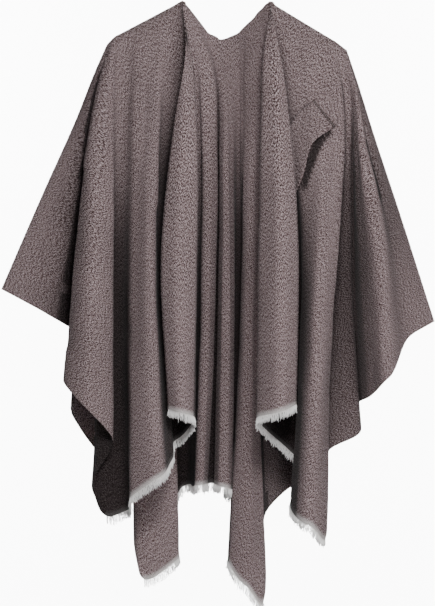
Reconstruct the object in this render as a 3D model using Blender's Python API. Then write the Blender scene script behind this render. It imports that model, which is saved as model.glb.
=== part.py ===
"""Open-front blanket poncho, hung from its shoulder line and kept in its hanging form.

One length of woven cloth with a neck slit that runs on down the front. The cloth is described by its
fold lines: every fold starts on the shoulder line and ends on a hem or on a side selvedge, and each
panel is lofted through its own folds. Sizes in the tables are millimetres. X runs across, Z runs up,
and depth is measured from the shoulder plane, towards the viewer (-Y) for the two front panels and
away from the viewer (+Y) for the back panel.
"""
from typing import NamedTuple

import bmesh
import bpy
import numpy as np
from mathutils import Vector

MM = 0.001                  # millimetres to metres
CLOTH = 2.0                 # thickness of the woven cloth
SEAM_GAP = 0.3              # clear gap where two pieces meet
HEM_GAP = 0.5               # clear gap between a hem and the strip that carries its fringe
SHOULDER_TURN = 7.0         # how far each panel rolls off the shoulder line before it falls
STAND_RUN = 0.015           # share of a fold's length over which a turned-back edge stands up

STATIONS = (0.0, 0.1, 0.3, 0.6, 1.0)      # places down a fold, as a share of its drop
ROWS = (0.0, 0.012, 0.035, 0.065, 0.1, 0.145, 0.2, 0.26, 0.33, 0.41, 0.49,
        0.58, 0.67, 0.76, 0.85, 0.93, 1.0)

CREST = 3.0                 # half width of the rounded crest of a fold
CREST_SHARE = 0.25          # largest share of a narrow flank that its crests may take
FLANK_STEPS = 2             # columns from one crest to the next
EVEN_RUN = 0.05             # added to every run between columns, so that none has no length

STRAND_PITCH = 7.6          # spacing of the fringe strands along a hem
STRAND_WIDTH = 3.4          # width of a strand at its root
STRAND_TIP = 0.45           # width of its tip as a share of the root
STRAND_LENGTH = 12.0        # mean length of a strand
STRAND_RIPPLE = 1.6         # how much the lengths differ
STRAND_BEAT = 7.3           # step of that ripple from one stretch of the strip to the next
STRAND_WEIGHT = 1.5         # how much a strand turns to hang straight down
HEADING_HEIGHT = 2.0        # height of the strip that carries the strands
HEADING_WEIGHT = 1.2        # how much that strip turns to hang straight down
SPARE_ROOM = 0.2            # share of a pitch that a strand may borrow from its neighbours

# Shoulder line on each side, from the neck point to the shoulder tip: x, z.
SHOULDER_LEFT = ((-72, 2), (-184, -57), (-196, -69))
SHOULDER_RIGHT = ((70, 0), (179, -66), (196, -79))

# Edge of the neck slit in the back panel, from the left neck point to the right one: x, depth, z.
NECKLINE = (
    (-72, 0, 2),
    (-62, 8, -8),
    (-43, 19, -37),
    (-28, 26, -51),
    (-8, 32, -59),
    (8, 30, -56),
    (20, 26, -47),
    (43, 15, -25),
    (56, 8, -10),
    (70, 0, 0),
)


class Fold(NamedTuple):
    """One fold line of a panel, from the shoulder line down to the cloth's edge."""

    name: str
    across: tuple           # x at every station
    depth: tuple            # depth at every station after the first
    end: float              # z where the fold meets the edge
    stand: float = 0.0      # extra depth of a turned-back edge, reached just below the top


#          name             x at 0, 0.1, 0.3, 0.6, 1         depth at 0.1, 0.3, 0.6, 1   end z
FRONT_LEFT = (
    Fold("opening_edge", (-72, -68, -87, -108, -97), (20, 40, 74, 78), -668, 9),
    Fold("lapel_face", (-75, -66, -67, -77, -74), (19, 52, 93, 100), -675, 5),
    Fold("lapel_roll", (-78, -63, -51, -51, -54), (11, 38, 66, 76), -683, 2),
    Fold("lapel_hollow", (-85, -72, -84, -94, -82), (3, 14, 14, 16), -718),
    Fold("inner_flank", (-102, -97, -109, -112, -91), (9, 23, 45, 50), -752),
    Fold("inner_ridge", (-125, -120, -123, -125, -114), (14, 38, 81, 90), -782),
    Fold("outer_flank", (-146, -145, -148, -153, -155), (12, 30, 62, 71), -811),
    Fold("valley_floor", (-160, -165, -170, -173, -165), (4, 10, 6, 14), -835),
    Fold("front_corner", (-170, -179, -184, -191, -200), (3, 8, -4, 2), -842),
    Fold("floor_side", (-176, -184, -190, -202, -220), (4, 9, -2, 0), -805),
    Fold("under_turn", (-181, -187, -193, -208, -216), (5, 12, 10, 12), -779),
    Fold("cascade_roll", (-186, -188, -188, -189, -189), (12, 26, 40, 45), -721),
    Fold("cascade_ridge", (-189, -197, -208, -221, -231), (16, 38, 74, 80), -668),
    Fold("cascade_side", (-192, -208, -229, -249, -267), (8, 23, 47, 57), -624),
    Fold("wing_valley", (-193, -206, -212, -217, -226), (1, 4, -18, -26), -556),
    Fold("wing_middle", (-195, -210, -232, -266, -300), (1, 3, 0, -4), -510),
    Fold("wing_edge", (-196, -214, -246, -300, -370), (0, 0, 0, 0), -472),
)

#          name             x at 0, 0.1, 0.3, 0.6, 1         depth at 0.1, 0.3, 0.6, 1   end z
FRONT_RIGHT = (
    Fold("opening_edge", (70, 84, 104, 117, 114), (20, 43, 81, 86), -660, 9),
    Fold("lapel_face", (72, 75, 82, 87, 86), (24, 59, 108, 116), -673, 5),
    Fold("lapel_roll", (75, 63, 58, 53, 51), (15, 40, 73, 81), -685, 2),
    Fold("lapel_hollow", (82, 77, 100, 118, 112), (4, 14, 6, 8), -746),
    Fold("inner_flank", (100, 109, 127, 127, 106), (9, 24, 54, 62), -828),
    Fold("inner_ridge", (133, 146, 160, 151, 132), (13, 38, 94, 108), -858),
    Fold("outer_flank", (171, 188, 186, 170, 162), (11, 35, 70, 75), -876),
    Fold("valley_side", (180, 194, 196, 186, 178), (6, 10, 8, 24), -746),
    Fold("valley_floor", (185, 198, 201, 202, 218), (3, 4, -4, 4), -704),
    Fold("wing_crease", (188, 202, 205, 206, 211), (0, -4, -14, -12), -663),
    Fold("wing_flank", (191, 206, 213, 222, 238), (3, 10, 22, 26), -645),
    Fold("wing_ridge", (193, 209, 223, 250, 265), (5, 22, 58, 62), -618),
    Fold("wing_dip", (194, 210, 231, 268, 298), (3, 12, 24, 24), -553),
    Fold("wing_edge", (196, 211, 239, 283, 340), (0, 0, 0, 0), -525),
)

#          name             x at 0, 0.1, 0.3, 0.6, 1         depth at 0.1, 0.3, 0.6, 1   end z
BACK = (
    Fold("left_wing_edge", (-196, -214, -246, -300, -370), (0, 0, 0, 0), -472),
    Fold("left_wing_middle", (-194, -209, -232, -265, -303), (3, 6, 18, 28), -497),
    Fold("left_wing_fold", (-192, -199, -208, -220, -238), (12, 22, 62, 94), -530),
    Fold("left_side_turn", (-188, -198, -211, -232, -252), (4, 14, 34, 42), -680),
    Fold("left_side_valley", (-183, -186, -192, -204, -208), (9, 24, 66, 78), -745),
    Fold("left_side_floor", (-176, -176, -176, -174, -172), (13, 32, 112, 136), -772),
    Fold("strip_edge", (-168, -165, -161, -158, -150), (10, 22, 56, 60), -826),
    Fold("strip_side", (-160, -156, -155, -153, -151), (9, 19, 44, 44), -899),
    Fold("left_corner", (-148, -145, -140, -134, -134), (8, 16, 36, 34), -947),
    Fold("strip_turn", (-130, -122, -109, -93, -83), (8, 18, 40, 42), -915),
    Fold("strip_hollow", (-114, -107, -105, -100, -100), (12, 30, 94, 114), -851),
    Fold("left_hollow", (-94, -84, -77, -67, -71), (15, 32, 117, 145), -796),
    Fold("first_side", (-72, -58, -46, -48, -54), (13, 24, 73, 94), -795),
    Fold("first_ridge", (-59, -31, -19, -23, -35), (15, 14, 38, 46), -791),
    Fold("first_valley", (-33, -18, -14, -18, -26), (31, 30, 70, 80), -790),
    Fold("middle_ridge", (-8, 2, 7, 9, 7), (26, 16, 38, 42), -800),
    Fold("middle_valley", (16, 19, 19, 12, 0), (31, 32, 80, 98), -805),
    Fold("hidden_fold", (26, 26, 26, 35, 56), (28, 30, 104, 132), -858),
    Fold("tail_side", (35, 33, 30, 22, 3), (20, 20, 58, 54), -917),
    Fold("tail_ridge", (43, 43, 41, 35, 29), (15, 14, 38, 36), -957),
    Fold("right_corner", (54, 56, 54, 48, 60), (12, 14, 38, 46), -977),
    Fold("tail_turn", (70, 68, 62, 55, 61), (10, 18, 53, 73), -851),
    Fold("right_hollow", (83, 87, 91, 95, 105), (12, 30, 104, 128), -797),
    Fold("right_ridge", (107, 117, 125, 133, 143), (9, 20, 53, 66), -765),
    Fold("right_valley", (140, 153, 166, 176, 186), (13, 30, 111, 131), -716),
    Fold("right_side_ridge", (173, 181, 188, 196, 206), (8, 16, 46, 60), -662),
    Fold("right_wing_fold", (185, 198, 206, 217, 239), (9, 24, 73, 94), -621),
    Fold("right_wing_middle", (192, 209, 222, 252, 291), (3, 8, 26, 30), -555),
    Fold("right_wing_edge", (196, 211, 239, 283, 340), (0, 0, 0, 0), -525),
)

# Pull-through loop on the right front: a flat band from its stitched end, out over the panel and in
# under the lapel, where its far end is sewn down. A row per section: x, z and clearance from the
# panel at its upper side, then the same at its lower side.
LOOP = (
    (147, -158, 0.8, 182, -198, 0.8),
    (142, -161, 0.9, 177, -204, 5.0),
    (134, -166, 1.2, 165, -212, 12.0),
    (124, -174, 2.0, 151, -221, 17.0),
    (113, -186, 3.5, 140, -233, 19.0),
    (104, -201, 6.0, 133, -251, 17.0),
    (97, -219, 8.0, 129, -271, 14.0),
    (92, -238, 8.0, 123, -291, 10.0),
    (87, -258, 5.0, 112, -315, 6.0),
    (83, -275, 1.0, 102, -330, 1.0),
)
LOOP_COLUMNS = 8            # points across the band

CLOTH_COLOUR = (0.165, 0.125, 0.118, 1.0)
FRINGE_COLOUR = (0.78, 0.74, 0.74, 1.0)


def smooth(knots, values, places):
    """Smooth curve through values at the knots, with the slope at a knot taken from both sides."""
    knots, values, places = (np.asarray(v, float) for v in (knots, values, places))
    gaps = np.diff(knots)
    steps = np.diff(values, axis=0) / gaps.reshape((-1,) + (1,) * (values.ndim - 1))
    slopes = np.empty_like(values)
    slopes[0], slopes[-1] = steps[0], steps[-1]
    for i in range(1, len(knots) - 1):
        before, after = gaps[i - 1], gaps[i]
        slopes[i] = (steps[i - 1] * after + steps[i] * before) / (before + after)
    out = []
    for place in places:
        i = min(int(np.searchsorted(knots, place, side="right")) - 1, len(gaps) - 1)
        t = (place - knots[i]) / gaps[i]
        out.append(values[i] * (2 * t**3 - 3 * t**2 + 1) + values[i + 1] * (3 * t**2 - 2 * t**3)
                   + slopes[i] * gaps[i] * (t**3 - 2 * t**2 + t)
                   + slopes[i + 1] * gaps[i] * (t**3 - t**2))
    return np.array(out)


def unit(vectors):
    """Vectors scaled to a length of one."""
    return vectors / np.linalg.norm(vectors, axis=-1, keepdims=True)


def along(points):
    """Direction of travel at every point of a line, midway between the steps on either side."""
    steps = unit(np.diff(points, axis=0))
    return unit(np.concatenate([steps[:1], steps[:-1] + steps[1:], steps[-1:]]))


def top_of(x):
    """Depth and height of the cloth's upper edge at x: the shoulder line, or the neck slit."""
    if x < SHOULDER_LEFT[0][0]:
        line = SHOULDER_LEFT[::-1]
        return 0.0, np.interp(x, [p[0] for p in line], [p[1] for p in line])
    if x > SHOULDER_RIGHT[0][0]:
        return 0.0, np.interp(x, [p[0] for p in SHOULDER_RIGHT], [p[1] for p in SHOULDER_RIGHT])
    columns = list(zip(*NECKLINE))
    return np.interp(x, columns[0], columns[1]), np.interp(x, columns[0], columns[2])


def fold_points(fold):
    """Points down one fold as x, depth, z."""
    top_depth, top = top_of(fold.across[0])
    rows = np.array(ROWS)
    x = smooth(STATIONS, fold.across, rows)
    depth = smooth(STATIONS, (top_depth,) + fold.depth, rows)
    depth += fold.stand * (1 - np.exp(-rows / STAND_RUN))
    return np.stack([x, depth, top + (fold.end - top) * rows], axis=1)


def crests(points):
    """Split every inner fold point of a row in two, so that each fold has a rounded crest."""
    split = [points[0]]
    for before, crest, after in zip(points, points[1:], points[2:]):
        back, on = (before - crest)[:2], (after - crest)[:2]
        reach = (np.linalg.norm(back), np.linalg.norm(on))
        turn = unit(unit(on) - unit(back))
        half = min(CREST, min(reach) * CREST_SHARE)
        step = np.append(turn, (after - before)[2] / sum(reach)) * half
        split += [crest - step, crest + step]
    return np.array(split + [points[-1]])


def across_folds(lines):
    """Fill in the columns between neighbouring folds, row by row."""
    grid = []
    for row in range(len(ROWS)):
        points = crests(lines[:, row])
        runs = np.sqrt(np.linalg.norm(np.diff(points, axis=0), axis=1)) + EVEN_RUN
        knots = np.concatenate([[0.0], np.cumsum(runs)])
        places = np.concatenate([np.linspace(knots[i], knots[i + 1], 1 if i % 2 else FLANK_STEPS,
                                             endpoint=False) for i in range(len(runs))] + [knots[-1:]])
        grid.append(smooth(knots, points, places))
    return np.array(grid)


def seam_distance(grid, seam):
    """Distance of every grid point from the seam line, seen from the front."""
    flat = grid[..., (0, 2)][..., None, :]
    start, run = seam[:-1], np.diff(seam, axis=0)
    share = np.clip(((flat - start) * run).sum(-1) / (run * run).sum(-1), 0, 1)
    return np.linalg.norm(flat - (start + share[..., None] * run), axis=-1).min(-1)


def facing_normals(grid):
    """Unit normals of a grid of points, across its rows and down its columns."""
    return unit(np.cross(along(grid.transpose(1, 0, 2)).transpose(1, 0, 2), along(grid)))


def panel(folds, facing):
    """Middle surface of a panel and its outward normals; facing is -1 for a front, 1 for the back."""
    grid = across_folds(np.array([fold_points(fold) for fold in folds]))
    on_seam = np.zeros(grid.shape[:2], bool)
    seams = []
    for column, shoulder in ((0, SHOULDER_LEFT), (-1, SHOULDER_RIGHT), (-1, SHOULDER_LEFT)):
        edge = grid[:, column][:, (0, 2)]
        if "wing_edge" in folds[column].name and edge[0, 0] * shoulder[-1][0] > 0:
            seams.append(np.concatenate([np.array(shoulder[:-1], float), edge]))
            on_seam[:, column] = True
    distance = np.min([seam_distance(grid, seam) for seam in seams], axis=0)
    on_seam[0] = (grid[0, :, 0] <= SHOULDER_LEFT[0][0]) | (grid[0, :, 0] >= SHOULDER_RIGHT[0][0])

    depth = grid[..., 1] + SHOULDER_TURN * (1 - np.exp(-distance / SHOULDER_TURN))
    depth[on_seam] = 0.0
    grid[..., 1] = facing * (CLOTH / 2 + SEAM_GAP / 2 + depth)

    normals = facing_normals(grid)
    if normals[..., 1].mean() * facing < 0:
        normals = -normals
    normals[on_seam] = (0, facing, 0)
    return grid, normals


def material(name, colour, roughness):
    """Plain material of its own for one node."""
    made = bpy.data.materials.new(name)
    made.use_nodes = True
    shader = made.node_tree.nodes["Principled BSDF"]
    shader.inputs["Base Color"].default_value = colour
    shader.inputs["Roughness"].default_value = roughness
    return made


def add_object(name, work, colour, roughness=0.9):
    """Turn a finished bmesh, drawn in millimetres, into one object in metres."""
    bmesh.ops.scale(work, vec=(MM, MM, MM), verts=work.verts)
    bmesh.ops.recalc_face_normals(work, faces=work.faces)
    for face in work.faces:
        face.smooth = True
    mesh = bpy.data.meshes.new(name)
    work.to_mesh(mesh)
    work.free()
    mesh.materials.append(material(name, colour, roughness))
    made = bpy.data.objects.new(name, mesh)
    bpy.context.scene.collection.objects.link(made)
    return made


def sheet(name, middle, normals):
    """Cloth wall: a grid laid on the outer points, extruded through to the inner points."""
    rows, columns = middle.shape[:2]
    outer = (middle + normals * CLOTH / 2).reshape(-1, 3)
    inner = (middle - normals * CLOTH / 2).reshape(-1, 3)
    work = bmesh.new()
    bmesh.ops.create_grid(work, x_segments=columns - 1, y_segments=rows - 1, size=1)
    place = work.verts.layers.int.new("place")
    for k, vert in enumerate(work.verts):
        vert[place] = k
        vert.co = outer[k]
    bmesh.ops.triangulate(work, faces=work.faces, quad_method="FIXED")
    wall = bmesh.ops.extrude_face_region(work, geom=work.faces[:], use_keep_orig=True)
    for vert in wall["geom"]:
        if isinstance(vert, bmesh.types.BMVert):
            vert.co = inner[vert[place]]
    bmesh.ops.triangulate(work, faces=work.faces, quad_method="ALTERNATE")
    return add_object(name, work, CLOTH_COLOUR)


def hem_stations(hem):
    """Places along a hem, counted in columns, and whether a strand grows from each stretch."""
    places, is_strand = [], []
    for j, run in enumerate(np.linalg.norm(np.diff(hem, axis=0), axis=1)):
        count = int(run / STRAND_PITCH + SPARE_ROOM)
        half = STRAND_WIDTH / 2 / run
        places.append(float(j))
        for k in range(count):
            centre = j + (k + 0.5) / count
            places += [centre - half, centre + half]
            is_strand += [False, True]
        is_strand.append(False)
    return places + [float(len(hem) - 1)], is_strand


def fringe(name, middle, normals, first, last):
    """Heading strip under a hem between two columns, with its strands drawn out of it."""
    hem, out = middle[-1, first:last + 1], normals[-1, first:last + 1]
    fall = unit(hem - middle[-2, first:last + 1])
    away = unit(np.cross(out, along(hem)))
    away *= np.sign((away * fall).sum())
    hang = unit(away + fall + (0, 0, -STRAND_WEIGHT))
    away = unit(away + (0, 0, -HEADING_WEIGHT))
    places, is_strand = hem_stations(hem)
    columns = np.arange(len(hem))

    def at(table, place):
        return np.array([np.interp(place, columns, table[:, k]) for k in range(3)])

    ring = np.empty((5, len(places), 3))
    for s, place in enumerate(places):
        down, side = at(away, place), at(out, place) * CLOTH / 2
        upper = at(hem, place) + down * HEM_GAP
        lower = upper + down * HEADING_HEIGHT
        ring[:, s] = upper + side, upper - side, lower - side, lower + side, upper + side
    work = bmesh.new()
    bmesh.ops.create_grid(work, x_segments=len(places) - 1, y_segments=4, size=1)
    for vert, point in zip(work.verts, ring.reshape(-1, 3)):
        vert.co = point
    stretch = work.faces.layers.int.new("stretch")
    underside = list(work.faces)[2 * len(is_strand):3 * len(is_strand)]
    for s, face in enumerate(underside):
        face[stretch] = s
    roots = [face for face, strand in zip(underside, is_strand) if strand]
    for face in bmesh.ops.extrude_discrete_faces(work, faces=roots)["faces"]:
        s = face[stretch]
        length = STRAND_LENGTH + STRAND_RIPPLE * np.sin(STRAND_BEAT * s)
        reach = Vector(at(hang, (places[s] + places[s + 1]) / 2) * length)
        root = face.calc_center_median()
        for vert in face.verts:
            vert.co = root + reach + (vert.co - root) * STRAND_TIP
    bmesh.ops.remove_doubles(work, verts=work.verts, dist=1e-4)
    bmesh.ops.holes_fill(work, edges=[edge for edge in work.edges if edge.is_boundary])
    bmesh.ops.triangulate(work, faces=work.faces, quad_method="FIXED")
    return add_object(name, work, FRINGE_COLOUR, 1.0)


def loop_band(middle):
    """Middle surface of the pull-through loop, made from the right front's points moved out."""
    low, high = column_of(FRONT_RIGHT, "lapel_roll"), column_of(FRONT_RIGHT, "valley_side")
    sheet_part = middle[:, low:high]
    band = []
    for upper_x, upper_z, upper_lift, lower_x, lower_z, lower_lift in LOOP:
        for share in np.linspace(0, 1, LOOP_COLUMNS):
            x, z = upper_x + (lower_x - upper_x) * share, upper_z + (lower_z - upper_z) * share
            level = np.array([[np.interp(-z, -column[:, 2], column[:, k]) for k in (0, 1)]
                              for column in sheet_part.transpose(1, 0, 2)])
            lift = CLOTH + SEAM_GAP + upper_lift + (lower_lift - upper_lift) * share
            band.append((x, np.interp(x, level[:, 0], level[:, 1]) - lift, z))
    band = np.array(band).reshape(len(LOOP), LOOP_COLUMNS, 3)
    outward = facing_normals(band)
    return band, outward * -np.sign(outward[..., 1:2])


def column_of(folds, name):
    """Grid column at which a named fold's crest begins."""
    place = [fold.name for fold in folds].index(name)
    return place * FLANK_STEPS + max(place - 1, 0)


def main():
    """Build every piece of the poncho."""
    for old in list(bpy.data.objects):
        bpy.data.objects.remove(old, do_unlink=True)
    left, right, back = panel(FRONT_LEFT, -1), panel(FRONT_RIGHT, -1), panel(BACK, 1)
    sheet("front_left", *left)
    sheet("front_right", *right)
    sheet("back", *back)
    sheet("pull_through_loop", *loop_band(right[0]))
    fringe("fringe_front_left", *left, 0, column_of(FRONT_LEFT, "front_corner"))
    fringe("fringe_front_right", *right, 0, column_of(FRONT_RIGHT, "outer_flank"))
    fringe("fringe_back", *back, column_of(BACK, "left_corner"), column_of(BACK, "right_corner"))


main()
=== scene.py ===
"""Open-front blanket poncho, hung from its shoulder line and dressed for the render.

The cloth is one woven length with a neck slit that runs on down the front. Each panel is a thin shell
lofted through the named folds of its solid, and the back through three more, with rounder crests, soft
creases and a rolled shoulder fold. Part of the shade in closed folds is in the cloth's
colour: openness() works it out from the shape of the folds. Sizes in the tables are millimetres: X
runs across, Z runs up, and depth is measured from the shoulder plane, towards the viewer for the two
fronts and away for the back.
"""
import logging
import math
from dataclasses import dataclass
from enum import Enum
from typing import Any, Optional, Sequence

import bmesh
import bpy
import numpy as np
from bmesh.types import BMesh, BMFace, BMVert
from bpy.types import Material, Node, NodeSocket, NodeTree, Object
from mathutils import Matrix, Vector, noise


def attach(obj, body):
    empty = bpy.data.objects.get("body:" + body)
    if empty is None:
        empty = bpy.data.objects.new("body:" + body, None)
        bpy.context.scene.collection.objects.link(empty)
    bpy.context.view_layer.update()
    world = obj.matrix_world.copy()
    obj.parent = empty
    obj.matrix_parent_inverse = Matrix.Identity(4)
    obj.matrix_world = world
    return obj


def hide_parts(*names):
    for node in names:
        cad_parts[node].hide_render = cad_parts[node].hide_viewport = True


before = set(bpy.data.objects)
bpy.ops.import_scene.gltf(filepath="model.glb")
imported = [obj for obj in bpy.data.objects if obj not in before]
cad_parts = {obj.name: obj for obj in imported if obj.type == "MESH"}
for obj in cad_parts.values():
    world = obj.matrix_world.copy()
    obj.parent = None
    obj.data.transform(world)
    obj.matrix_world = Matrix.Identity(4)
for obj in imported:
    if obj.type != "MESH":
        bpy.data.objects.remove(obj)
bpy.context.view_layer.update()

LOG = logging.getLogger("poncho")

MM = 0.001  # millimetres to metres
SEAM_RADIUS = 1.15  # mm, radius of the cloth's middle where it rolls over the shoulder
CLOTH = 1.7  # mm, thickness of the brushed twill
WELD = 1e-3  # mm, points of a shell that lie closer than this are merged
SHOULDER_TURN = 7.0  # mm, how far a panel rolls off the shoulder line before it falls
STAND_RUN = 0.015  # share of a fold's length over which a turned-back edge stands up
STATIONS = (0.0, 0.1, 0.3, 0.6, 1.0)  # places down a fold, as a share of its drop
ROW_COUNT = 116  # rows of points down a panel
ROW_EASE = 0.62  # how much closer the rows lie at the shoulder and at the hem
CREST = 6.5  # mm, half width of the rounded crest of a fold
CREST_SHARE = 0.34  # largest share of a narrow flank that its crests may take
CREST_STEPS = 3  # columns over a crest
FLANK_STEPS = 5  # columns from one crest to the next
EVEN_RUN = 0.05  # added to every run between columns, so that none has no length
ROLL_STEPS = 4  # rows round each half of the shoulder fold
SOFT_FROM_SEAM = 25.0  # mm from the shoulder fold at which creases reach their full height
HEM_BLEACH = 11.0  # mm, band above a hem where pale fringe yarn shows in the weave
OPEN_REACH = 70.0  # mm, how far off a fold may stand and still shade a point
OPEN_BLUR = 3.0  # mm, softens the shade at the foot of a fold
TURNED_AWAY = 0.45  # how far a point faces away before it takes the other side's light
TURN_STEEPNESS = 4.0  # how fast it changes over
SHADE_DEPTH = 0.95  # share of the light that a painted shadow under the loop takes away

WAVE_SCALE = math.pi / 10  # scale at which a wave texture repeats once in each unit

Point2 = tuple[float, float]
Point3 = tuple[float, float, float]
Array = np.ndarray
Finishes = Sequence[Material]

# Point that the camera and the front lights look at, in metres.
CENTRE: Point3 = (-0.01564, 0.0, -0.4938)

# The cloth's upper edge, from the left shoulder tip round the neck slit to the right one: x, depth, z.
TOP_EDGE: tuple[Point3, ...] = (
    (-196, 0, -69), (-184, 0, -57), (-72, 0, 2), (-62, 8, -8), (-43, 19, -37),
    (-28, 26, -51), (-8, 32, -59), (8, 30, -56), (20, 26, -47), (43, 15, -25),
    (56, 8, -10), (70, 0, 0), (179, 0, -66), (196, 0, -79),
)


class Facing(Enum):
    """Which way a panel's right side looks along Y."""

    FRONT = -1.0
    BACK = 1.0


class Side(Enum):
    """Material slots of a cloth shell."""

    RIGHT_SIDE = 0
    REVERSE = 1


@dataclass(frozen=True)
class Fold:
    """One fold line of a panel, from the shoulder line down to the cloth's edge."""

    name: str
    across: tuple[float, ...]  # x at every station
    depth: tuple[float, ...]  # depth at every station after the first
    end: float  # z where the fold meets the edge
    stand: float = 0.0  # extra depth of a turned-back edge, reached just below the top


@dataclass(frozen=True)
class Crease:
    """Soft fold laid over a panel, between two of its named folds."""

    between: tuple[str, str]
    start: Point2  # x, z of its upper end
    end: Point2  # x, z of its lower end
    width: float  # half width of the swell
    height: float  # rise above the panel, or dip where it is less than 0


@dataclass(frozen=True)
class Shade:
    """Painted shadow on a panel, close under the free edge of a piece that stands off it."""

    start: Point2  # x, z of one end
    end: Point2  # x, z of the other
    width: float  # half width


@dataclass(frozen=True)
class LoopSection:
    """One section across the pull-through loop, from its upper edge to its lower one."""

    upper: Point2  # x, z of the upper edge
    upper_lift: float  # clearance of that edge from the panel
    lower: Point2  # x, z of the lower edge
    lower_lift: float  # its clearance


# Folds of each panel: name, x at every station, depth at every station but the first, end z, stand.
FRONT_LEFT = (
    Fold("opening_edge", (-72, -68, -87, -108, -97), (20, 40, 74, 78), -668, 9),
    Fold("lapel_face", (-75, -66, -67, -77, -74), (19, 52, 93, 100), -675, 5),
    Fold("lapel_roll", (-78, -63, -51, -51, -54), (11, 38, 66, 76), -683, 2),
    Fold("lapel_hollow", (-85, -72, -84, -94, -82), (3, 14, 14, 16), -718),
    Fold("inner_flank", (-102, -97, -109, -112, -91), (9, 23, 45, 50), -752),
    Fold("inner_ridge", (-125, -120, -123, -125, -114), (14, 38, 81, 90), -782),
    Fold("outer_flank", (-146, -145, -148, -153, -155), (12, 30, 62, 71), -811),
    Fold("valley_floor", (-160, -165, -170, -173, -165), (4, 10, 6, 14), -835),
    Fold("front_corner", (-170, -179, -184, -191, -200), (3, 8, -4, 2), -842),
    Fold("floor_side", (-176, -184, -190, -202, -220), (4, 9, -2, 0), -805),
    Fold("under_turn", (-181, -187, -193, -208, -216), (5, 12, 10, 12), -779),
    Fold("cascade_roll", (-186, -188, -188, -189, -189), (12, 26, 40, 45), -721),
    Fold("cascade_ridge", (-189, -197, -208, -221, -231), (16, 38, 74, 80), -668),
    Fold("cascade_side", (-192, -208, -229, -249, -267), (8, 23, 47, 57), -624),
    Fold("wing_valley", (-193, -206, -212, -217, -226), (1, 4, -18, -26), -556),
    Fold("wing_middle", (-195, -210, -232, -266, -300), (1, 3, 0, -4), -510),
    Fold("wing_edge", (-196, -214, -246, -300, -370), (0, 0, 0, 0), -472),
)

FRONT_RIGHT = (
    Fold("opening_edge", (70, 84, 104, 117, 114), (20, 43, 81, 86), -660, 9),
    Fold("lapel_face", (72, 75, 82, 87, 86), (24, 59, 108, 116), -673, 5),
    Fold("lapel_roll", (75, 63, 58, 53, 51), (15, 40, 73, 81), -685, 2),
    Fold("lapel_hollow", (82, 77, 100, 118, 112), (4, 14, 6, 8), -746),
    Fold("inner_flank", (100, 109, 127, 127, 106), (9, 24, 54, 62), -828),
    Fold("inner_ridge", (133, 146, 160, 151, 132), (13, 38, 94, 108), -858),
    Fold("outer_flank", (171, 188, 186, 170, 162), (11, 35, 70, 75), -876),
    Fold("valley_side", (179, 188, 183, 170, 164), (6, 8, 4, 22), -746),
    Fold("valley_floor", (185, 198, 201, 202, 218), (3, 4, -4, 4), -704),
    Fold("wing_crease", (188, 202, 205, 206, 211), (0, -4, -14, -12), -663),
    Fold("wing_flank", (191, 206, 213, 222, 238), (3, 10, 22, 26), -645),
    Fold("wing_ridge", (193, 209, 223, 250, 265), (5, 22, 58, 62), -618),
    Fold("wing_dip", (194, 210, 231, 268, 298), (3, 12, 24, 24), -553),
    Fold("wing_edge", (196, 211, 239, 283, 340), (0, 0, 0, 0), -525),
)

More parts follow.
